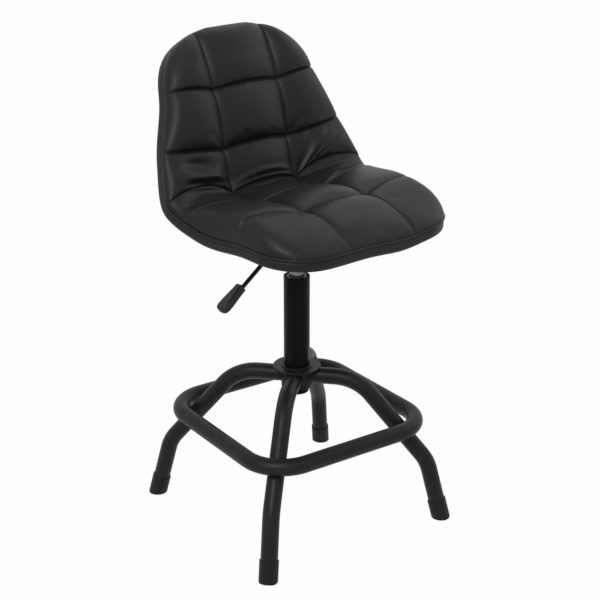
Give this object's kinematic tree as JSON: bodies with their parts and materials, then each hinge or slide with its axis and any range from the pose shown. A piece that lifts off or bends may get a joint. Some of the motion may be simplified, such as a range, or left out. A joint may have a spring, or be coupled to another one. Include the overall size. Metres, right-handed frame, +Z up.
{
  "type": "machinist stool",
  "caption": "Height-adjustable swivel stool: quilted one-piece bucket seat on a gas lift, bent tube legs, rounded square foot ring and a release lever.",
  "frame": {"origin": "on the floor under the column's axis", "axes": "+Z up, -Y towards the seat's front, -X towards the release lever"},
  "size_m": [0.494, 0.494, 0.9386],
  "materials": {
    "black_frame": "black powder coat, satin",
    "black_column": "smooth black enamel, satin",
    "steel": "ground steel",
    "alloy": "machined",
    "grey_plastic": "moulded",
    "black_plastic": "moulded, light grain",
    "foot_rubber": "matt",
    "leather": "black coated leather, fine pebble grain",
    "board": "moulded plywood"
  },
  "bodies": {
    "base": {"leg_rear_left": "black_frame", "leg_rear_right": "black_frame", "leg_front_right": "black_frame", "leg_front_left": "black_frame", "foot_cap_rear_left": "foot_rubber", "foot_cap_rear_right": "foot_rubber", "foot_cap_front_right": "foot_rubber", "foot_cap_front_left": "foot_rubber", "foot_ring": "black_frame", "ring_welds": "black_frame", "ring_seam_weld": "black_frame", "hub_tube": "black_frame", "hub_collar": "black_frame", "outer_column": "black_column", "guide_bush": "grey_plastic", "bearing_washer_lower": "steel"},
    "bearing": {"bearing_cage": "grey_plastic", "bearing_balls": "steel"},
    "rod": {"piston_rod": "steel", "rod_clip": "steel", "rubber_bumper": "foot_rubber", "piston": "alloy", "bearing_washer_upper": "steel"},
    "seat": {"lift_cylinder": "steel", "cylinder_gland": "alloy", "seat_plate": "black_frame", "mechanism_channel": "black_frame", "cone_socket": "black_frame", "pivot_lug_front": "black_frame", "pivot_lug_rear": "black_frame", "lever_pin": "steel", "seat_cushion": "leather", "seat_shell": "board", "under_cover": "leather", "plate_bolts": "steel", "bolt_washers": "steel", "tee_nuts": "steel"},
    "lever": {"lever_rod": "black_frame", "lever_grip": "black_plastic"},
    "button": {"release_button": "steel"}
  },
  "joints": [
    {"name": "seat_swivel", "type": "hinge", "parent": "base", "child": "rod", "pos_m": [0, 0, 0.26], "axis": [0, 0, 1], "continuous": true},
    {"name": "bearing_roll", "type": "hinge", "parent": "base", "child": "bearing", "pos_m": [0, 0, 0.258], "axis": [0, 0, 1], "continuous": true},
    {"name": "height_slide", "type": "slide", "parent": "rod", "child": "seat", "axis": [0, 0, 1], "range_m": [-0.048, 0.08]},
    {"name": "lever_pivot", "type": "hinge", "parent": "seat", "child": "lever", "pos_m": [-0.036, 0, 0.56485], "axis": [0, 1, 0], "range_deg": [0, 4], "stiffness_Nm_per_rad": 1.5},
    {"name": "button_press", "type": "slide", "parent": "seat", "child": "button", "axis": [0, 0, -1], "range_m": [0, 0.0028]}
  ],
  "couplings": [
    {"joint": "bearing_roll", "follows": "seat_swivel", "ratio": 0.5},
    {"joint": "button_press", "follows": "lever_pivot", "m_per_rad": 0.038}
  ]
}
